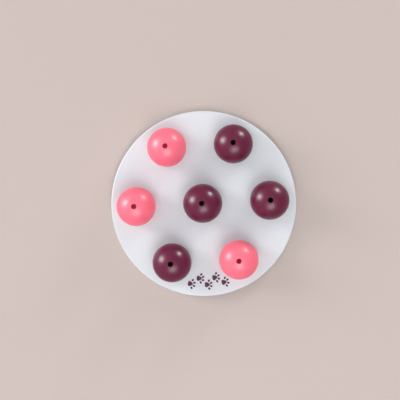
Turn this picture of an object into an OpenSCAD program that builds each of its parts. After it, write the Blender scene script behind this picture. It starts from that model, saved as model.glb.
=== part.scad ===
// Cat puzzle board. A round moulded tray has seven treat wells, and a hollow ball with a
// scent hole in its crown sits loose over each well, with its collar down in the well.
// Millimetres. +Z is up, and the origin is on the floor under the middle of the tray.
// Ball 1 is the middle one. Balls 2 to 7 go round anticlockwise from +X.

/* [Tray] */
// Diameter of the tray at its lower edge
board_d = 200; // [180:1:260]
// Height of the tray without its feet
board_h = 9; // [7.5:0.5:16]
// Thickness of the top plate
plate_t = 2.4; // [1.6:0.1:3.5]
// Thickness of the skirt round the tray
skirt_t = 2.2; // [1.6:0.1:4]
// Lean of the skirt's faces, in degrees
skirt_draft = 2; // [0.5:0.5:4]
// Rounding of the tray's top edge
edge_r = 1.6; // [0.4:0.1:2.2]
// Thickness of the ribs under the plate
rib_t = 1.4; // [1:0.1:2.5]
// How far the ribs stop above the tray's lower edge
rib_lift = 1; // [0.5:0.1:2]

/* [Treat wells] */
// From the tray's lower edge in to the middle of an outer well
well_inset = 29.2; // [24:0.1:40]
// Thickness of a well's side wall
well_wall = 1.8; // [1.2:0.1:3]
// Thickness of a well's floor
well_floor_t = 1.6; // [1:0.1:2.5]
// How far a well's underside stays above the tray's lower edge
well_lift = 0.4; // [0.2:0.1:1]
// Bevel round a well's mouth
well_bevel = 0.8; // [0.3:0.1:1.2]

/* [Balls] */
// Diameter of a ball at its widest
ball_d = 41.4; // [39:0.1:46]
// Height of the widest circle above the tray's top face
ball_stand = 13; // [9:0.5:15]
// Height of the crown above the widest circle
ball_rise = 20.2; // [16:0.1:20.6]
// Wall thickness of both halves
ball_wall = 1.8; // [1.2:0.1:3]
// Diameter of the scent hole in the crown
hole_d = 5.5; // [3:0.5:9]
// Bevel round the scent hole
hole_bevel = 0.3; // [0.1:0.05:0.8]
// Width of the flat shoulder that rests on the tray
shoulder_w = 2.4; // [1.8:0.1:3.5]
// Thickness of the shoulder
shoulder_t = 1.8; // [1.2:0.1:3]
// Wall thickness of the collar in the well
collar_t = 1.6; // [1:0.1:2.5]
// Bevel on the collar's lower edge
collar_bevel = 0.6; // [0.2:0.1:0.9]
// Height of the lap joint between the two halves
lap_h = 2.4; // [1.5:0.1:4]
// Bevel on each half along the seam
seam_bevel = 0.25; // [0.1:0.05:0.5]

/* [Feet] */
// Diameter of a foot
foot_d = 14; // [10:0.5:18]
// How far a foot stands out below the tray's lower edge
foot_proud = 1.5; // [0.8:0.1:4]
// How deep a foot sits in its socket
foot_recess = 1.5; // [0.8:0.1:2.5]
// From the tray's lower edge in to the middle of a foot
foot_inset = 15; // [13:0.5:24]
// Rounding of a foot's lower edge
foot_edge_r = 0.8; // [0.3:0.1:1.4]
// Diameter of a foot's stem
stem_d = 6; // [4:0.5:8]
// Bevel at the stem's tip
stem_bevel = 0.5; // [0.2:0.1:1]
// Thickness of the wall round a foot's socket
socket_wall = 1.4; // [1:0.1:2.5]

/* [Clearances] */
// Play all round a collar in its well
collar_play = 0.4; // [0.2:0.05:0.8]
// Gap between a collar and the floor of its well
collar_gap = 1; // [0.5:0.1:2]
// Play in the lap joint between the two halves of a ball
lap_play = 0.1; // [0.05:0.05:0.3]
// Play all round a foot and its stem
foot_play = 0.1; // [0.05:0.05:0.3]
// Gap over the tip of a foot's stem
stem_gap = 0.6; // [0.2:0.1:1.5]

/* [Hidden] */
$fn = 96;
// Balls and feet in a ring, and the angle from one to the next
around = 6;
turn = 360 / around;
balls = around + 1;

white = "#e4e3e8";
plum = "#67283f";
pink = "#fb6d87";
grey = "#5b5c60";
ball_colours = [plum, plum, plum, pink, pink, plum, pink];

// How far a cutter runs past the face that it cuts
past = 1;

// Heights of the tray
board_z = foot_proud;
top_z = board_z + board_h;
plate_z = top_z - plate_t;
plate_mid_z = top_z - plate_t / 2;
rib_z = board_z + rib_lift;
cup_z = board_z + well_lift;
well_z = cup_z + well_floor_t;

// Lower half of a ball: a sphere cut flat where it stands on the tray
ball_r = ball_d / 2;
equator_z = top_z + ball_stand;
base_r = sqrt(ball_r * ball_r - ball_stand * ball_stand);
collar_r = base_r - shoulder_w;
mouth_r = collar_r - collar_t;
collar_l = top_z - well_z - collar_gap;
lap_r = ball_r - ball_wall / 2;

// Upper half of a ball: one arc, upright at the widest circle and level at the crown, so that
// its middle lies a little off the ball's axis
dome_x = ball_r - ball_rise;
hole_r = hole_d / 2;
hole_edge_z = sqrt(pow(ball_rise, 2) - pow(hole_r - dome_x, 2));

// Plan of the tray
board_r = board_d / 2;
pitch_r = board_r - well_inset;
well_r = collar_r + collar_play;
cup_r = well_r + well_wall;
ring_ribs = [pitch_r / 2, pitch_r - cup_r, pitch_r, pitch_r + cup_r];
spokes = 2 * around;
spoke_in_r = well_r + well_wall / 2;
spoke_out_r = board_r - board_h * tan(skirt_draft) - skirt_t / 2;

// Feet and their sockets
foot_r = foot_d / 2;
foot_top_z = board_z + foot_recess;
foot_ring_r = board_r - foot_inset;
socket_r = foot_r + foot_play;
stem_r = stem_d / 2;
stem_tip_z = plate_z - stem_gap;

// Centre of the rounded top edge, which touches the top face and the leaning skirt
edge_z = top_z - edge_r;
edge_x = board_r - (edge_r + sin(skirt_draft) * (edge_z - board_z)) / cos(skirt_draft);

// Radius of the skirt's outer face at a height
function skirt_r(z) = board_r - (z - board_z) * tan(skirt_draft);

// Places the children over well i
module at_well(i) {
    if (i == 1) children();
    else rotate((i - 2) * turn) translate([pitch_r, 0, 0]) children();
}

// Places the children over foot i, halfway between two outer wells
module at_foot(i) {
    rotate((i - 0.5) * turn) translate([foot_ring_r, 0, 0]) children();
}

// Half profile of the tray's outside
module tray_outline() {
    edge_end = [
        edge_x + edge_r * cos(skirt_draft),
        edge_z + edge_r * sin(skirt_draft)
    ];
    polygon([[0, board_z], [board_r, board_z], edge_end, [edge_x, top_z], [0, top_z]]);
    translate([edge_x, edge_z]) circle(edge_r);
}

// Half profile of the hollow under the top plate
module tray_hollow() {
    polygon([
        [0, board_z - past],
        [skirt_r(board_z - past) - skirt_t, board_z - past],
        [skirt_r(plate_z) - skirt_t, plate_z],
        [0, plate_z]
    ]);
}

// Plan of the ribs: rings about the middle, and spokes from the middle cup to the skirt
module rib_plan() {
    for (r = ring_ribs)
        difference() {
            circle(r + rib_t / 2);
            circle(r - rib_t / 2);
        }
    for (k = [1:spokes])
        rotate(k * 360 / spokes)
            translate([spoke_in_r, -rib_t / 2])
                square([spoke_out_r - spoke_in_r, rib_t]);
}

module well_cup() {
    translate([0, 0, cup_z])
        cylinder(r = cup_r, h = plate_mid_z - cup_z);
}

// Half profile of a well: a bore with a rounded floor corner and a bevelled mouth
module well_outline() {
    translate([0, well_z + collar_gap])
        square([well_r, top_z - well_z - collar_gap + past]);
    translate([0, well_z])
        square([well_r - collar_gap, collar_gap + past]);
    translate([well_r - collar_gap, well_z + collar_gap])
        circle(collar_gap);
    polygon([
        [0, top_z - well_bevel],
        [well_r, top_z - well_bevel],
        [well_r + well_bevel + past, top_z + past],
        [0, top_z + past]
    ]);
}

module foot_socket_body() {
    translate([0, 0, board_z])
        cylinder(r = socket_r + socket_wall, h = plate_mid_z - board_z);
}

module foot_socket_hole() {
    translate([0, 0, board_z - past])
        cylinder(r = socket_r, h = foot_recess + past);
    translate([0, 0, board_z])
        cylinder(r = stem_r + foot_play, h = plate_z - board_z);
}

module board() {
    color(white)
        difference() {
            union() {
                rotate_extrude()
                    difference() {
                        tray_outline();
                        tray_hollow();
                    }
                translate([0, 0, rib_z]) linear_extrude(plate_mid_z - rib_z) rib_plan();
                for (i = [1:balls]) at_well(i) well_cup();
                for (i = [1:around]) at_foot(i) foot_socket_body();
            }
            for (i = [1:balls]) at_well(i) rotate_extrude() well_outline();
            for (i = [1:around]) at_foot(i) foot_socket_hole();
        }
}

// Half profile of a foot: a head with a rounded lower edge, and a stem
module foot_outline() {
    translate([0, foot_edge_r])
        square([foot_r, foot_top_z - foot_edge_r]);
    square([foot_r - foot_edge_r, foot_top_z]);
    translate([foot_r - foot_edge_r, foot_edge_r])
        circle(foot_edge_r);
    polygon([
        [0, foot_edge_r],
        [stem_r, foot_edge_r],
        [stem_r, stem_tip_z - stem_bevel],
        [stem_r - stem_bevel, stem_tip_z],
        [0, stem_tip_z]
    ]);
}

module foot(i) {
    color(grey)
        at_foot(i) rotate_extrude() foot_outline();
}

// Half profile of a ball above its widest circle, taken in from the surface by inset
module dome_outline(inset) {
    intersection() {
        translate([dome_x, 0]) circle(ball_rise - inset);
        square([ball_r + past, ball_rise + past]);
    }
    square([dome_x, ball_rise - inset]);
}

// Half profile of a ball from a height up to its widest circle
module bowl_outline(inset, low_z) {
    intersection() {
        circle(ball_r - inset);
        translate([0, low_z]) square([ball_r + past, -low_z]);
    }
}

// Cutter that bevels an outer corner of a half profile. up is 1 at an upper corner, -1 at a lower one
module bevel_corner(x, z, size, up) {
    polygon([
        [x - size, z + up * past],
        [x - size, z],
        [x, z - up * size],
        [x + past, z - up * size],
        [x + past, z + up * past]
    ]);
}

module top_shell_outline() {
    difference() {
        dome_outline(0);
        dome_outline(ball_wall);
        square([lap_r + lap_play / 2, lap_h + lap_play]);
        square([hole_r, ball_rise + past]);
        polygon([
            [hole_r, hole_edge_z - hole_bevel],
            [hole_r + hole_bevel + past, hole_edge_z + past],
            [hole_r - past, hole_edge_z + past],
            [hole_r - past, hole_edge_z - hole_bevel]
        ]);
        bevel_corner(ball_r, 0, seam_bevel, -1);
    }
}

module bottom_shell_outline() {
    difference() {
        union() {
            bowl_outline(0, -ball_stand);
            translate([ball_r - ball_wall, -ball_wall])
                square([(ball_wall - lap_play) / 2, ball_wall + lap_h]);
            translate([mouth_r, -ball_stand - collar_l])
                square([collar_t, collar_l + shoulder_t]);
        }
        bowl_outline(ball_wall, shoulder_t - ball_stand);
        translate([0, -ball_stand - collar_l - past])
            square([mouth_r, collar_l + shoulder_t + 2 * past]);
        bevel_corner(collar_r, -ball_stand - collar_l, collar_bevel, -1);
        bevel_corner(ball_r, 0, seam_bevel, 1);
    }
}

module ball_top_shell(i) {
    color(ball_colours[i - 1])
        at_well(i) translate([0, 0, equator_z]) rotate_extrude() top_shell_outline();
}

module ball_bottom_shell(i) {
    color(ball_colours[i - 1])
        at_well(i) translate([0, 0, equator_z]) rotate_extrude() bottom_shell_outline();
}

board();
for (i = [1:around]) foot(i);
for (i = [1:balls]) ball_bottom_shell(i);
for (i = [1:balls]) ball_top_shell(i);
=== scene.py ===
import math

import bmesh
import bpy
from mathutils import Matrix, Vector


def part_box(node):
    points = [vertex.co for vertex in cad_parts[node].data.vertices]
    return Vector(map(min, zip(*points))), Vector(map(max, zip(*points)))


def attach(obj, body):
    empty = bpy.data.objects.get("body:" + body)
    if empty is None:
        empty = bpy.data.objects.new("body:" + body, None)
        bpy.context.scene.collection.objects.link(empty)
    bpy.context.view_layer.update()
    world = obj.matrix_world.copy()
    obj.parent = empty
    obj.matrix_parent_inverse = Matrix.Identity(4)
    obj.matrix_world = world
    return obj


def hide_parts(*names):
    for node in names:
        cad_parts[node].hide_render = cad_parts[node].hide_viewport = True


mm = 0.001  # the scene is in metres
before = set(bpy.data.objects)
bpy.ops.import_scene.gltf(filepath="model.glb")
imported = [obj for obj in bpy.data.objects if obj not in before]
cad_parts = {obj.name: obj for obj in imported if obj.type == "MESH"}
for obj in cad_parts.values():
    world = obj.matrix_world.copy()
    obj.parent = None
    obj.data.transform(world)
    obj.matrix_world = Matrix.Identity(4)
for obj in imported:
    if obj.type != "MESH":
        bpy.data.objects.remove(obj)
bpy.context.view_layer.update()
print("frame loaded:", len(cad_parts), "nodes")


# Small tools

def addNode(tree, kind, inputs=None, **settings):
    node = tree.nodes.new(kind)
    for name, value in settings.items():
        setattr(node, name, value)
    for key, value in (inputs or {}).items():
        if isinstance(value, bpy.types.NodeSocket):
            tree.links.new(value, node.inputs[key])
        else:
            node.inputs[key].default_value = value
    return node


def addObject(name, data):
    holder = bpy.data.objects.new(name, data)
    bpy.context.scene.collection.objects.link(holder)
    return holder


# sRGB hex to the linear colour that a shader takes
def linear(hexColour):
    parts = [int(hexColour[k:k + 2], 16) / 255 for k in (1, 3, 5)]
    return (*[part / 12.92 if part <= 0.04045 else ((part + 0.055) / 1.055) ** 2.4 for part in parts], 1)


# Materials

absIor = 1.52  # typical of ABS


def newMaterial(name):
    material = bpy.data.materials.new(name)
    material.use_nodes = True
    tree = material.node_tree
    return material, tree, tree.nodes["Principled BSDF"]


def perSize(size):
    return 1 / size  # texture scale that gives features of about this size


# soft clouds of a second tone in the body colour
def cloudyTone(tree, shader, place, size, tones, detail, swirl=0.0):
    clouds = addNode(tree, "ShaderNodeTexNoise", {
        "Vector": place, "Scale": perSize(size), "Detail": detail, "Distortion": swirl})
    # sockets 6 and 7 take the two colours, and output 2 is their mix
    tone = addNode(tree, "ShaderNodeMix", {
        "Factor": clouds.outputs["Fac"], 6: linear(tones[0]), 7: linear(tones[1])}, data_type="RGBA")
    tree.links.new(tone.outputs[2], shader.inputs["Base Color"])


# the texture of the mould, as bump; gives back its noise so that the gloss can follow it
def mouldedGrain(tree, shader, place, look):
    grain = addNode(tree, "ShaderNodeTexNoise", {
        "Vector": place, "Scale": perSize(look["grainSize"]), "Detail": look["grainDetail"],
        "Roughness": look["grainBreak"]})
    bump = addNode(tree, "ShaderNodeBump", {
        "Height": grain.outputs["Fac"], "Strength": look["grainStrength"], "Distance": look["grainDepth"]})
    tree.links.new(bump.outputs["Normal"], shader.inputs["Normal"])
    return grain.outputs["Fac"]


whiteAbsLook = {
    "body": "#dadddf",
    "drift": "#d1d4d8",  # where the white runs a touch greyer
    "driftSize": 45 * mm,
    "grainSize": 1.1 * mm,  # the real spark-eroded grain is about 0.1 mm, drawn coarser so that it shows
    "grainDepth": 0.02 * mm,
    "grainDetail": 3.0,  # layers of finer and finer noise
    "grainBreak": 0.6,  # how strong the finer layers are
    "grainStrength": 0.5,
    "scuffSize": 9 * mm,
    "scuffStretch": 14,  # how much finer the scuffs are across than along
    "scuffTurns": (25, -50),  # degrees
    "scuffFrom": 0.12,  # noise level where the scuffs begin
    "scuffFull": 0.42,
    "smooth": 0.40,
    "rough": 0.54,
    "sheen": 0.3,
}


# ABS, injection moulded in a finely textured tool: a cool white with a broad, soft sheen
def mouldedWhiteAbs():
    look = whiteAbsLook
    material, tree, shader = newMaterial("moulded ABS, textured white")
    place = addNode(tree, "ShaderNodeTexCoord").outputs["Object"]
    cloudyTone(tree, shader, place, look["driftSize"], (look["body"], look["drift"]), detail=2.0)
    mouldedGrain(tree, shader, place, look)
    # faint scuffs from paws, in two directions
    streaks = []
    for turn in look["scuffTurns"]:
        along = addNode(tree, "ShaderNodeMapping", {
            "Vector": place, "Rotation": (0, 0, math.radians(turn)), "Scale": (1, look["scuffStretch"], 1)})
        streaks.append(addNode(tree, "ShaderNodeTexNoise", {
            "Vector": along.outputs["Vector"], "Scale": perSize(look["scuffSize"]), "Detail": 4.0}))
    crossed = addNode(tree, "ShaderNodeMath", {
        0: streaks[0].outputs["Fac"], 1: streaks[1].outputs["Fac"]}, operation="MULTIPLY")
    gloss = addNode(tree, "ShaderNodeMapRange", {
        "Value": crossed.outputs["Value"], "From Min": look["scuffFrom"], "From Max": look["scuffFull"],
        "To Min": look["smooth"], "To Max": look["rough"]})
    tree.links.new(gloss.outputs["Result"], shader.inputs["Roughness"])
    shader.inputs["IOR"].default_value = absIor
    shader.inputs["Specular IOR Level"].default_value = look["sheen"]
    return material


plumLook = {
    "name": "moulded ABS, plum",
    "body": "#601433",
    "flow": "#691d3c",  # paler streaks where the melt folded
    "smooth": 0.28,
    "rough": 0.36,
    "sheen": 0.2,
}
pinkLook = {
    "name": "moulded ABS, coral pink",
    "body": "#ff697d",
    "flow": "#ff778b",
    "smooth": 0.38,
    "rough": 0.46,
    "sheen": 0.25,
}
pinkGlow = {
    "tone": "#ff9dbd",  # a thin pink wall lets some red light through
    "letsIn": 0.3,  # share of the light outside that reaches the wall's inner face
    "handsOn": 0.95,  # share of that which goes on into the ball
}
ballAbsLook = {
    "flowSize": 16 * mm,
    "flowSwirl": 1.2,
    "grainSize": 1.3 * mm,  # the real grain is finer, drawn coarser so that it shows
    "grainDepth": 0.012 * mm,
    "grainDetail": 3.0,
    "grainBreak": 0.6,
    "grainStrength": 0.5,
    "grainLow": 0.3,  # noise levels of the grain's smoothest and roughest spots
    "grainHigh": 0.7,
    "skin": 0.07,  # the moulded skin's own sharp glint
    "skinRough": 0.14,
}


# ABS, injection moulded in a satin tool and coloured through: a small bright glint with a haze round it
def mouldedBallAbs(colour, part=""):
    look = ballAbsLook
    material, tree, shader = newMaterial(colour["name"] + part)
    place = addNode(tree, "ShaderNodeTexCoord").outputs["Object"]
    tones = colour["body"], colour["flow"]
    cloudyTone(tree, shader, place, look["flowSize"], tones, detail=3.0, swirl=look["flowSwirl"])
    gloss = addNode(tree, "ShaderNodeMapRange", {
        "Value": mouldedGrain(tree, shader, place, look),
        "From Min": look["grainLow"], "From Max": look["grainHigh"],
        "To Min": colour["smooth"], "To Max": colour["rough"]})
    tree.links.new(gloss.outputs["Result"], shader.inputs["Roughness"])
    shader.inputs["IOR"].default_value = absIor
    shader.inputs["Specular IOR Level"].default_value = colour["sheen"]
    shader.inputs["Coat Weight"].default_value = look["skin"]
    shader.inputs["Coat Roughness"].default_value = look["skinRough"]
    return material


# a thin pale wall also hands light on, so that the inside of a ball glows red through its hole
def letLightThrough(material, onlyInwards):
    tree = material.node_tree
    share = pinkGlow["handsOn"]
    if onlyInwards:
        behind = addNode(tree, "ShaderNodeNewGeometry").outputs["Backfacing"]
        share = addNode(tree, "ShaderNodeMath", {
            0: behind, 1: pinkGlow["letsIn"]}, operation="MULTIPLY").outputs["Value"]
    crossing = addNode(tree, "ShaderNodeBsdfTranslucent", {"Color": linear(pinkGlow["tone"])})
    blend = addNode(tree, "ShaderNodeMixShader", {
        0: share, 1: tree.nodes["Principled BSDF"].outputs["BSDF"], 2: crossing.outputs["BSDF"]})
    tree.links.new(blend.outputs["Shader"], tree.nodes["Material Output"].inputs["Surface"])


inkLook = {
    "body": "#50203a",
    "thin": "#5f2d47",  # where the mesh of the screen left less ink
    "mottleSize": 1.6 * mm,
    "rough": 0.5,
    "sheen": 0.15,
}


# Screen-printed ink: an even, slightly dusty film with a low sheen
def screenInk():
    look = inkLook
    material, tree, shader = newMaterial("screen-printed ink, plum")
    place = addNode(tree, "ShaderNodeTexCoord").outputs["Object"]
    cloudyTone(tree, shader, place, look["mottleSize"], (look["body"], look["thin"]), detail=2.0)
    shader.inputs["Roughness"].default_value = look["rough"]
    shader.inputs["Specular IOR Level"].default_value = look["sheen"]
    return material


rubberLook = {
    "body": "#5b5c60",
    "bloom": "#6e6f73",  # a pale bloom that rubber gets with handling
    "bloomSize": 5 * mm,
    "grainSize": 0.6 * mm,
    "grainDepth": 0.03 * mm,
    "grainDetail": 2.0,
    "grainBreak": 0.5,
    "grainStrength": 0.6,
    "rough": 0.82,
    "sheen": 0.35,
}


# Thermoplastic rubber, moulded matt: dull grey with a dry, dusty face and no clear highlight
def mattRubber():
    look = rubberLook
    material, tree, shader = newMaterial("thermoplastic rubber, grey")
    place = addNode(tree, "ShaderNodeTexCoord").outputs["Object"]
    cloudyTone(tree, shader, place, look["bloomSize"], (look["body"], look["bloom"]), detail=4.0)
    mouldedGrain(tree, shader, place, look)
    shader.inputs["Roughness"].default_value = look["rough"]
    shader.inputs["Specular IOR Level"].default_value = look["sheen"]
    return material


whiteAbs = mouldedWhiteAbs()
plumAbs = mouldedBallAbs(plumLook)
pinkAbs = mouldedBallAbs(pinkLook)
letLightThrough(pinkAbs, onlyInwards=True)
pinkLining = mouldedBallAbs(pinkLook, ", inner face")
letLightThrough(pinkLining, onlyInwards=False)
printInk = screenInk()
rubber = mattRubber()
print("materials made")


# Geometry Nodes

meshFinish = {
    "weld": 0.001 * mm,  # points closer than this become one
    "crease": 32,  # degrees; sharper edges stay crisp
    "inward": -0.4,  # a face is lining where the cosine between its normal and the way out is below this
}


def newTree(name, sizes):
    tree = bpy.data.node_groups.new(name, "GeometryNodeTree")
    tree.interface.new_socket(name="Geometry", in_out="OUTPUT", socket_type="NodeSocketGeometry")
    tree.interface.new_socket(name="Geometry", in_out="INPUT", socket_type="NodeSocketGeometry")
    for label, kind in sizes.items():
        tree.interface.new_socket(name=label, in_out="INPUT", socket_type="NodeSocket" + kind)
    return tree, addNode(tree, "NodeGroupInput").outputs


# runs a tree on a start mesh and gives back a plain mesh with its faces turned outwards
def meshFromTree(tree, values, start=None):
    holder = addObject(tree.name, start or bpy.data.meshes.new("empty"))
    modifier = holder.modifiers.new(tree.name, "NODES")
    modifier.node_group = tree
    for item in tree.interface.items_tree:
        if item.in_out == "INPUT" and item.name in values:
            modifier[item.identifier] = values[item.name]
    depsgraph = bpy.context.evaluated_depsgraph_get()
    mesh = bpy.data.meshes.new_from_object(holder.evaluated_get(depsgraph))
    holder.modifiers.remove(modifier)
    bpy.data.objects.remove(holder)
    work = bmesh.new()
    work.from_mesh(mesh)
    bmesh.ops.recalc_face_normals(work, faces=work.faces)
    work.to_mesh(mesh)
    work.free()
    return mesh


# last nodes of every tree: real geometry, smooth faces with crisp corners, one material, and if asked
# another on the faces that look towards the middle
def closeTree(tree, geometry, finish, lining=None):
    joined = addNode(tree, "GeometryNodeMergeByDistance", {
        "Geometry": geometry, "Distance": meshFinish["weld"]})
    real = addNode(tree, "GeometryNodeRealizeInstances", {"Geometry": joined.outputs["Geometry"]})
    smooth = addNode(tree, "GeometryNodeSetShadeSmooth", {"Geometry": real.outputs["Geometry"]})
    angle = addNode(tree, "GeometryNodeInputMeshEdgeAngle")
    gentle = addNode(tree, "FunctionNodeCompare", {
        0: angle.outputs["Unsigned Angle"], 1: math.radians(meshFinish["crease"])},
        data_type="FLOAT", operation="LESS_THAN")
    edges = addNode(tree, "GeometryNodeSetShadeSmooth", {
        "Geometry": smooth.outputs["Geometry"], "Shade Smooth": gentle.outputs["Result"]}, domain="EDGE")
    painted = addNode(tree, "GeometryNodeSetMaterial", {
        "Geometry": edges.outputs["Geometry"], "Material": finish})
    if lining:
        outward = addNode(tree, "ShaderNodeVectorMath", {
            0: addNode(tree, "GeometryNodeInputPosition").outputs["Position"]}, operation="NORMALIZE")
        facing = addNode(tree, "ShaderNodeVectorMath", {
            0: addNode(tree, "GeometryNodeInputNormal").outputs["Normal"],
            1: outward.outputs["Vector"]}, operation="DOT_PRODUCT")
        inward = addNode(tree, "FunctionNodeCompare", {
            0: facing.outputs["Value"], 1: meshFinish["inward"]}, data_type="FLOAT", operation="LESS_THAN")
        painted = addNode(tree, "GeometryNodeSetMaterial", {
            "Geometry": painted.outputs["Geometry"], "Selection": inward.outputs["Result"],
            "Material": lining})
    addNode(tree, "NodeGroupOutput", {"Geometry": painted.outputs["Geometry"]})


# turns a half profile about the Z axis
def turningTree():
    tree, given = newTree("turned piece", {
        "Segments": "Int", "Path radius": "Float", "Finish": "Material", "Lining": "Material"})
    profile = addNode(tree, "GeometryNodeMeshToCurve", {"Mesh": given["Geometry"]})
    path = addNode(tree, "GeometryNodeCurvePrimitiveCircle", {
        "Resolution": given["Segments"], "Radius": given["Path radius"]}, mode="RADIUS")
    swept = addNode(tree, "GeometryNodeCurveToMesh", {
        "Curve": path.outputs["Curve"], "Profile Curve": profile.outputs["Curve"]})
    closeTree(tree, swept.outputs["Mesh"], given["Finish"], given["Lining"])
    return tree


turnedPiece = turningTree()


def arc(centre, radius, start, end, steps):
    angles = [start + (end - start) * k / steps for k in range(steps + 1)]
    return [(centre[0] + radius * math.cos(angle), centre[1] + radius * math.sin(angle)) for angle in angles]


# points are (distance from the axis, height), clockwise; a closed profile misses the axis
def turnedMesh(points, segments, finish, lining=None, closed=True):
    pathRadius = max(radius for radius, height in points)  # the profile is carried at its widest point
    links = [(k, k + 1) for k in range(len(points) - 1)]
    if closed:
        links.append((len(points) - 1, 0))
    start = bpy.data.meshes.new("profile")
    start.from_pydata([(radius - pathRadius, -height, 0) for radius, height in points], links, [])
    return meshFromTree(turnedPiece, {
        "Segments": segments, "Path radius": pathRadius,
        "Finish": finish, "Lining": lining or finish}, start)


def addPiece(name, mesh, place, body, node=None):
    mesh = mesh.copy()
    mesh.name = name
    mesh.transform(Matrix.Translation(place))
    piece = addObject(name, mesh)
    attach(piece, body)
    if node:
        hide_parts(node)


def middle(node):
    low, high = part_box(node)
    return (low + high) / 2


# Board: the CAD node, in textured white

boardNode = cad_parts["board"]
boardNode.material_slots[0].material = whiteAbs
boardLow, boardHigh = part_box("board")
topZ = boardHigh.z
print("board finished, top face at", round(topZ / mm, 2), "mm")


# Balls: two turned shells each

ballSizes = {
    "count": 7,
    "pink": (4, 5, 7),  # the others are plum
    "stand": 13 * mm,  # widest circle above the board's top face
    "rise": 20.2 * mm,  # height of the dome above the widest circle
    "wall": 1.8 * mm,
    "holeRadius": 2.75 * mm,
    "holeRound": 0.3 * mm,
    "seamRound": 0.25 * mm,
    "shoulderWidth": 2.4 * mm,
    "shoulderThick": 1.8 * mm,
    "collarWall": 1.6 * mm,
    "collarBevel": 0.6 * mm,
    "lapHeight": 2.4 * mm,
    "lapPlay": 0.1 * mm,
    "segments": 128,
    "arcSteps": 40,
    "lipSteps": 6,
    "seamSteps": 4,
}
ballLow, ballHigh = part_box("ball_1_top_shell")
ballRadius = (ballHigh.x - ballLow.x) / 2
equatorZ = topZ + ballSizes["stand"]
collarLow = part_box("ball_1_bottom_shell")[0].z - equatorZ


# upper shell, measured from the middle of the widest circle
def domeProfile():
    sizes = ballSizes
    rise, lip, seam, steps = sizes["rise"], sizes["holeRound"], sizes["seamRound"], sizes["arcSteps"]
    inside = rise - sizes["wall"]
    domeX = ballRadius - rise
    lapX = ballRadius - sizes["wall"] / 2 + sizes["lapPlay"] / 2
    lapTop = sizes["lapHeight"] + sizes["lapPlay"]
    holeAngle = math.acos((sizes["holeRadius"] - domeX) / inside)
    lipX = sizes["holeRadius"] + lip
    lipAngle = math.acos((lipX - domeX) / (rise - lip))
    lipZ = (rise - lip) * math.sin(lipAngle)
    points = [(lapX, 0), (lapX, lapTop)]
    points += arc((domeX, 0), inside, math.asin(lapTop / inside), holeAngle, steps)
    points += arc((lipX, lipZ), lip, math.pi, lipAngle, sizes["lipSteps"])
    points += arc((domeX, 0), rise, lipAngle, math.asin(seam / rise), steps)[1:]
    points += arc((ballRadius - seam, seam), seam, 0, -math.pi / 2, sizes["seamSteps"])
    return points


# lower shell: a bowl with a flat shoulder and a collar round its mouth
def bowlProfile():
    sizes = ballSizes
    stand, seam, bevel, steps = sizes["stand"], sizes["seamRound"], sizes["collarBevel"], sizes["arcSteps"]
    inside = ballRadius - sizes["wall"]
    lapX = ballRadius - sizes["wall"] / 2 - sizes["lapPlay"] / 2
    shoulderZ = sizes["shoulderThick"] - stand
    collarX = math.sqrt(ballRadius ** 2 - stand ** 2) - sizes["shoulderWidth"]
    mouthX = collarX - sizes["collarWall"]
    seamAngle, baseAngle = -math.asin(seam / ballRadius), -math.asin(stand / ballRadius)
    points = [(lapX, 0)]
    points += arc((ballRadius - seam, -seam), seam, math.pi / 2, 0, sizes["seamSteps"])
    points += arc((0, 0), ballRadius, seamAngle, baseAngle, steps)[1:]
    points += [(collarX, -stand), (collarX, collarLow + bevel), (collarX - bevel, collarLow)]
    points += [(mouthX, collarLow), (mouthX, shoulderZ)]
    points += arc((0, 0), inside, math.asin(shoulderZ / inside), 0, steps)
    points += [(inside, sizes["lapHeight"]), (lapX, sizes["lapHeight"])]
    return points


shells = {}
for slot, finish, lining in (("plum_ball", plumAbs, plumAbs), ("pink_ball", pinkAbs, pinkLining)):
    for half, profile in (("top", domeProfile()), ("bottom", bowlProfile())):
        shells[slot, half] = turnedMesh(profile, ballSizes["segments"], finish, lining)
for number in range(1, ballSizes["count"] + 1):
    slot = "pink_ball" if number in ballSizes["pink"] else "plum_ball"
    for half in ("top", "bottom"):
        node = f"ball_{number}_{half}_shell"
        spot = middle(node)
        place = Vector((spot.x, spot.y, equatorZ))
        addPiece(f"ball_{number}_{half}", shells[slot, half], place, f"ball_{number}", node)
print("balls turned, radius", round(ballRadius / mm, 2), "mm")


# Feet: rubber, with grip rings underneath

footSizes = {
    "count": 6,
    "edgeRound": 0.8 * mm,
    "edgeSteps": 6,
    "recess": 1.5 * mm,  # how deep a foot sits in its socket
    "stemRadius": 3 * mm,
    "stemBevel": 0.5 * mm,
    "grooves": (1.8 * mm, 3.4 * mm, 5.0 * mm),
    "grooveWidth": 0.7 * mm,
    "grooveDepth": 0.4 * mm,
    "segments": 64,
}


def footProfile():
    sizes = footSizes
    low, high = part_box("foot_1")
    radius = (high.x - low.x) / 2
    headTop = boardLow.z + sizes["recess"]
    stem, bevel, edge = sizes["stemRadius"], sizes["stemBevel"], sizes["edgeRound"]
    half, depth = sizes["grooveWidth"] / 2, sizes["grooveDepth"]
    points = [(0, high.z), (stem - bevel, high.z), (stem, high.z - bevel)]
    points += [(stem, headTop), (radius, headTop)]
    points += arc((radius - edge, edge), edge, 0, -math.pi / 2, sizes["edgeSteps"])
    for groove in reversed(sizes["grooves"]):
        points += [(groove + half, 0), (groove + half / 2, depth)]
        points += [(groove - half / 2, depth), (groove - half, 0)]
    return points + [(0, 0)]


footMesh = turnedMesh(footProfile(), footSizes["segments"], rubber, closed=False)
for number in range(1, footSizes["count"] + 1):
    spot = middle(f"foot_{number}")
    addPiece(f"foot_{number}_grip", footMesh, Vector((spot.x, spot.y, 0)), "board", f"foot_{number}")
print("feet turned")


# Marks of the ejector pins under the plate: raised discs in two rings

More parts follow.
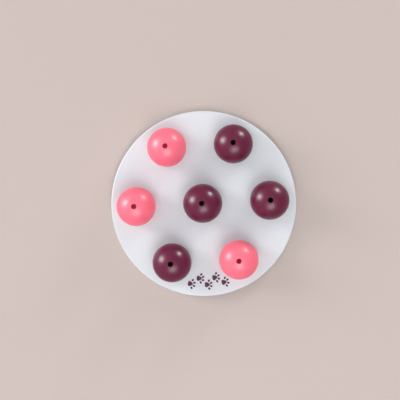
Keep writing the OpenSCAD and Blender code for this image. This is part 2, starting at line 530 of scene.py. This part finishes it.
pinSizes = {
    "rings": (45 * mm, 92 * mm),
    "perRing": 12,
    "radius": 2.2 * mm,
    "stand": 0.2 * mm,
    "sides": 24,
    "plate": 2.4 * mm,
}


def pinTree():
    tree, given = newTree("pin marks", {
        "Per ring": "Int", "Inner ring": "Float", "Outer ring": "Float", "Sides": "Int", "Radius": "Float",
        "Depth": "Float", "Height": "Float", "Finish": "Material"})
    disc = addNode(tree, "GeometryNodeMeshCylinder", {
        "Vertices": given["Sides"], "Radius": given["Radius"], "Depth": given["Depth"]})
    halfStep = addNode(tree, "ShaderNodeMath", {0: math.pi, 1: given["Per ring"]}, operation="DIVIDE")
    turn = addNode(tree, "ShaderNodeCombineXYZ", {"Z": halfStep.outputs["Value"]})
    lift = addNode(tree, "ShaderNodeCombineXYZ", {"Z": given["Height"]})
    both = addNode(tree, "GeometryNodeJoinGeometry")
    for label in ("Inner ring", "Outer ring"):
        ring = addNode(tree, "GeometryNodeMeshCircle", {
            "Vertices": given["Per ring"], "Radius": given[label]})
        placed = addNode(tree, "GeometryNodeTransform", {
            "Geometry": ring.outputs["Mesh"], "Rotation": turn.outputs["Vector"],
            "Translation": lift.outputs["Vector"]})
        discs = addNode(tree, "GeometryNodeInstanceOnPoints", {
            "Points": placed.outputs["Geometry"], "Instance": disc.outputs["Mesh"]})
        tree.links.new(discs.outputs["Instances"], both.inputs["Geometry"])
    closeTree(tree, both.outputs["Geometry"], given["Finish"])
    return tree


# the discs lie half in the plate, so they are twice as deep as they stand
pinMesh = meshFromTree(pinTree(), {
    "Per ring": pinSizes["perRing"], "Inner ring": pinSizes["rings"][0], "Outer ring": pinSizes["rings"][1],
    "Sides": pinSizes["sides"], "Radius": pinSizes["radius"], "Depth": 2 * pinSizes["stand"],
    "Height": topZ - pinSizes["plate"], "Finish": whiteAbs})
addPiece("board_pin_marks", pinMesh, Vector(), "board")
print("pin marks set")


# Print: a short trail of plain paw prints along the front edge

pawSizes = {
    "paws": 5,
    "trailRadius": 84 * mm,
    "middle": -90,  # bearing of the trail's middle in degrees from +X: the front edge
    "spread": 24,  # degrees along the edge from the first paw to the last
    "stagger": 3.4 * mm,
    "pad": 2.7 * mm,
    "padSides": 48,
    "lobes": 3,
    "swell": 0.13,  # how far the pad swells at its lobes, as a share of its radius
    "toes": 4,
    "toeReach": 4.8 * mm,
    "toeFan": 124,  # degrees from the first toe to the last
    "toeLength": 1.5 * mm,
    "toeWidth": 1.1 * mm,
    "toeSides": 32,
    "ink": 0.06 * mm,
}


# main pad: a circle that swells at its lobes
def padOutline(tree, given, here, bearing):
    ring = addNode(tree, "GeometryNodeCurvePrimitiveCircle", {
        "Resolution": given["Pad sides"], "Radius": given["Pad"]}, mode="RADIUS")
    turns = addNode(tree, "ShaderNodeMath", {0: bearing, 1: given["Lobes"]}, operation="MULTIPLY")
    wave = addNode(tree, "ShaderNodeMath", {0: turns.outputs["Value"]}, operation="COSINE")
    swell = addNode(tree, "ShaderNodeMath", {
        0: wave.outputs["Value"], 1: given["Swell"]}, operation="MULTIPLY")
    push = addNode(tree, "ShaderNodeVectorMath", {
        0: here, "Scale": swell.outputs["Value"]}, operation="SCALE")
    pad = addNode(tree, "GeometryNodeSetPosition", {
        "Geometry": ring.outputs["Curve"], "Offset": push.outputs["Vector"]})
    return pad.outputs["Geometry"]


# toes: ellipses in a fan ahead of the pad
def toeOutlines(tree, given, bearing):
    fanStart = addNode(tree, "ShaderNodeMath", {0: given["Toe fan"], 1: -0.5}, operation="MULTIPLY")
    fan = addNode(tree, "GeometryNodeCurveArc", {
        "Resolution": given["Toes"], "Radius": given["Toe reach"],
        "Start Angle": fanStart.outputs["Value"], "Sweep Angle": given["Toe fan"]}, mode="RADIUS")
    spots = addNode(tree, "GeometryNodeCurveToPoints", {"Curve": fan.outputs["Curve"]}, mode="EVALUATED")
    toe = addNode(tree, "GeometryNodeCurvePrimitiveCircle", {
        "Resolution": given["Toe sides"], "Radius": 1.0}, mode="RADIUS")
    toeSize = addNode(tree, "ShaderNodeCombineXYZ", {
        "X": given["Toe length"], "Y": given["Toe width"], "Z": 1.0})
    outwards = addNode(tree, "FunctionNodeAxisAngleToRotation", {"Axis": (0, 0, 1), "Angle": bearing})
    toes = addNode(tree, "GeometryNodeInstanceOnPoints", {
        "Points": spots.outputs["Points"], "Instance": toe.outputs["Curve"],
        "Rotation": outwards.outputs["Rotation"], "Scale": toeSize.outputs["Vector"]})
    real = addNode(tree, "GeometryNodeRealizeInstances", {"Geometry": toes.outputs["Instances"]})
    return real.outputs["Geometry"]


# a film of ink: the filled outlines, their lifted copy and the walls between
def inkFilm(tree, given, outlines):
    film = addNode(tree, "GeometryNodeFillCurve", {"Curve": outlines}, mode="NGONS")
    lifted = addNode(tree, "GeometryNodeExtrudeMesh", {
        "Mesh": film.outputs["Mesh"], "Offset": (0, 0, 1), "Offset Scale": given["Ink"],
        "Individual": False}, mode="FACES")
    under = addNode(tree, "GeometryNodeFlipFaces", {"Mesh": film.outputs["Mesh"]})
    closed = addNode(tree, "GeometryNodeJoinGeometry", {"Geometry": lifted.outputs["Mesh"]})
    tree.links.new(under.outputs["Mesh"], closed.inputs["Geometry"])
    return closed.outputs["Geometry"]


# spots along the edge, each stepping to the other side of the line
def trailSpots(tree, given, here):
    trail = addNode(tree, "GeometryNodeCurveArc", {
        "Resolution": given["Paws"], "Radius": given["Trail radius"], "Start Angle": given["Start"],
        "Sweep Angle": given["Spread"]}, mode="RADIUS")
    spots = addNode(tree, "GeometryNodeCurveToPoints", {"Curve": trail.outputs["Curve"]}, mode="EVALUATED")
    index = addNode(tree, "GeometryNodeInputIndex").outputs["Index"]
    odd = addNode(tree, "ShaderNodeMath", {0: index, 1: 2.0}, operation="MODULO")
    side = addNode(tree, "ShaderNodeMapRange", {
        "Value": odd.outputs["Value"], "To Min": 1.0, "To Max": -1.0})
    step = addNode(tree, "ShaderNodeMath", {
        0: side.outputs["Result"], 1: given["Stagger"]}, operation="MULTIPLY")
    outward = addNode(tree, "ShaderNodeVectorMath", {0: here}, operation="NORMALIZE")
    aside = addNode(tree, "ShaderNodeVectorMath", {
        0: outward.outputs["Vector"], "Scale": step.outputs["Value"]}, operation="SCALE")
    lift = addNode(tree, "ShaderNodeCombineXYZ", {"Z": given["Height"]})
    shift = addNode(tree, "ShaderNodeVectorMath", {
        0: aside.outputs["Vector"], 1: lift.outputs["Vector"]}, operation="ADD")
    walked = addNode(tree, "GeometryNodeSetPosition", {
        "Geometry": spots.outputs["Points"], "Offset": shift.outputs["Vector"]})
    return walked.outputs["Geometry"]


def pawTree():
    tree, given = newTree("paw trail", {
        "Paws": "Int", "Trail radius": "Float", "Start": "Float", "Spread": "Float", "Stagger": "Float",
        "Pad": "Float", "Pad sides": "Int", "Lobes": "Int", "Swell": "Float",
        "Toes": "Int", "Toe reach": "Float", "Toe fan": "Float", "Toe length": "Float", "Toe width": "Float",
        "Toe sides": "Int", "Ink": "Float", "Height": "Float", "Finish": "Material"})
    # direction of a point from the middle, as an angle
    here = addNode(tree, "GeometryNodeInputPosition").outputs["Position"]
    split = addNode(tree, "ShaderNodeSeparateXYZ", {"Vector": here})
    bearing = addNode(tree, "ShaderNodeMath", {
        0: split.outputs["Y"], 1: split.outputs["X"]}, operation="ARCTAN2").outputs["Value"]
    pad = padOutline(tree, given, here, bearing)
    outlines = addNode(tree, "GeometryNodeJoinGeometry", {"Geometry": pad})
    tree.links.new(toeOutlines(tree, given, bearing), outlines.inputs["Geometry"])
    paw = inkFilm(tree, given, outlines.outputs["Geometry"])
    # each paw points along the edge
    ahead = addNode(tree, "ShaderNodeMath", {0: bearing, 1: math.pi / 2}, operation="ADD")
    heading = addNode(tree, "FunctionNodeAxisAngleToRotation", {
        "Axis": (0, 0, 1), "Angle": ahead.outputs["Value"]})
    prints = addNode(tree, "GeometryNodeInstanceOnPoints", {
        "Points": trailSpots(tree, given, here), "Instance": paw, "Rotation": heading.outputs["Rotation"]})
    closeTree(tree, prints.outputs["Instances"], given["Finish"])
    return tree


spread = math.radians(pawSizes["spread"])
pawMesh = meshFromTree(pawTree(), {
    "Paws": pawSizes["paws"], "Trail radius": pawSizes["trailRadius"],
    "Start": math.radians(pawSizes["middle"]) - spread / 2, "Spread": spread, "Stagger": pawSizes["stagger"],
    "Pad": pawSizes["pad"], "Pad sides": pawSizes["padSides"], "Lobes": pawSizes["lobes"],
    "Swell": pawSizes["swell"], "Toes": pawSizes["toes"], "Toe reach": pawSizes["toeReach"],
    "Toe fan": math.radians(pawSizes["toeFan"]), "Toe length": pawSizes["toeLength"],
    "Toe width": pawSizes["toeWidth"], "Toe sides": pawSizes["toeSides"], "Ink": pawSizes["ink"],
    "Height": topZ, "Finish": printInk})
addPiece("board_print", pawMesh, Vector(), "board")
print("print laid,", len(pawMesh.polygons), "faces")


# Stage: plain floor, three soft boxes and a pale sky

stageLook = {
    "floor": "#c4b5ae",
    "floorRough": 0.7,
    "floorSheen": 0.05,
    "floorSize": 40.0,  # metres, so that no edge shows from the side
    "sky": "#eef0f5",
    "brightSide": 165,  # bearing in degrees from +X
    "skyBright": 1.02,
    "skyDim": 0.54,
}
# bearing from +X and height above the floor in degrees, then metres and watts; glint is what only a shiny
# surface shows of the box
softBoxes = {
    "key": {
        "bearing": -81, "height": 55.5, "distance": 2.2,
        "width": 1.4, "tall": 1.15, "power": 18, "glint": 63},
    "left": {
        "bearing": 158, "height": 25, "distance": 3.0,
        "width": 1.1, "tall": 1.35, "power": 36, "glint": 160},
    "right": {
        "bearing": 49, "height": 14, "distance": 2.0,
        "width": 0.5, "tall": 0.42, "power": 10, "glint": 32},
}


# Matt floor paint: an even pale tone with hardly any sheen
def layFloor():
    material, _, shader = newMaterial("floor paint, pale")
    shader.inputs["Base Color"].default_value = linear(stageLook["floor"])
    shader.inputs["Roughness"].default_value = stageLook["floorRough"]
    shader.inputs["Specular IOR Level"].default_value = stageLook["floorSheen"]
    half = stageLook["floorSize"] / 2
    corners = [(-half, -half, 0), (half, -half, 0), (half, half, 0), (-half, half, 0)]
    mesh = bpy.data.meshes.new("floor")
    mesh.from_pydata(corners, [], [(0, 1, 2, 3)])
    mesh.materials.append(material)
    addObject("floor", mesh)


def hangSoftBox(name, box):
    bearing, height = math.radians(box["bearing"]), math.radians(box["height"])
    level = math.cos(height)
    towards = Vector((level * math.cos(bearing), level * math.sin(bearing), math.sin(height)))
    for part, lights in (("power", True), ("glint", False)):
        lamp = bpy.data.lights.new(name, "AREA")
        lamp.shape = "RECTANGLE"
        lamp.size, lamp.size_y = box["width"], box["tall"]
        lamp.energy = box[part]
        holder = addObject(name, lamp)
        holder.location = towards * box["distance"]
        holder.rotation_euler = (-towards).to_track_quat("-Z", "Y").to_euler()
        holder.visible_diffuse = lights


# brighter on one side, as by a window
def setSky():
    world = bpy.data.worlds.new("sky")
    world.use_nodes = True
    tree = world.node_tree
    towards = addNode(tree, "ShaderNodeTexCoord").outputs["Generated"]
    side = math.radians(stageLook["brightSide"])
    across = addNode(tree, "ShaderNodeVectorMath", {
        0: towards, 1: (math.cos(side), math.sin(side), 0)}, operation="DOT_PRODUCT")
    level = addNode(tree, "ShaderNodeMapRange", {
        "Value": across.outputs["Value"], "From Min": -1.0, "From Max": 1.0,
        "To Min": stageLook["skyDim"], "To Max": stageLook["skyBright"]})
    background = tree.nodes["Background"]
    background.inputs["Color"].default_value = linear(stageLook["sky"])
    tree.links.new(level.outputs["Result"], background.inputs["Strength"])
    bpy.context.scene.world = world


layFloor()
for name, box in softBoxes.items():
    hangSoftBox(name, box)
setSky()


# Camera: nearly straight above, a little to the right of the board

cameraPlace = {
    "picture": 400,  # pixels along each side of the picture
    "focalPixels": 752.5,
    "height": 819.5 * mm,
    "standsOver": (34.1 * mm, -2.3 * mm),  # from the board's middle, along the picture's right and up
    "belowPixel": (234.9, 205.6),  # where the floor straight below the camera falls in the picture
    "roll": -2.7,  # degrees
    "sensor": 36.0,  # in millimetres, as Blender takes it
    "nearest": 10 * mm,
}


def placeCamera():
    place = cameraPlace
    turn = Matrix.Rotation(math.radians(place["roll"]), 3, "Z")
    right, up = turn @ Vector((1, 0, 0)), turn @ Vector((0, 1, 0))
    spot = right * place["standsOver"][0] + up * place["standsOver"][1] + Vector((0, 0, place["height"]))
    half = place["picture"] / 2
    perPixel = place["height"] / place["focalPixels"]
    aim = Vector((spot.x, spot.y, 0))
    aim += right * (half - place["belowPixel"][0]) * perPixel
    aim -= up * (half - place["belowPixel"][1]) * perPixel
    back = (spot - aim).normalized()
    side = up.cross(back).normalized()
    facing = Matrix((side, back.cross(side), back)).transposed()
    camera = bpy.data.cameras.new("camera")
    camera.sensor_width = place["sensor"]
    camera.lens = place["sensor"] * place["focalPixels"] / place["picture"]
    camera.clip_start = place["nearest"]
    holder = addObject("camera", camera)
    holder.matrix_world = Matrix.Translation(spot) @ facing.to_4x4()
    bpy.context.scene.camera = holder


placeCamera()
bpy.context.scene.view_settings.view_transform = "Standard"
print("stage and camera set")
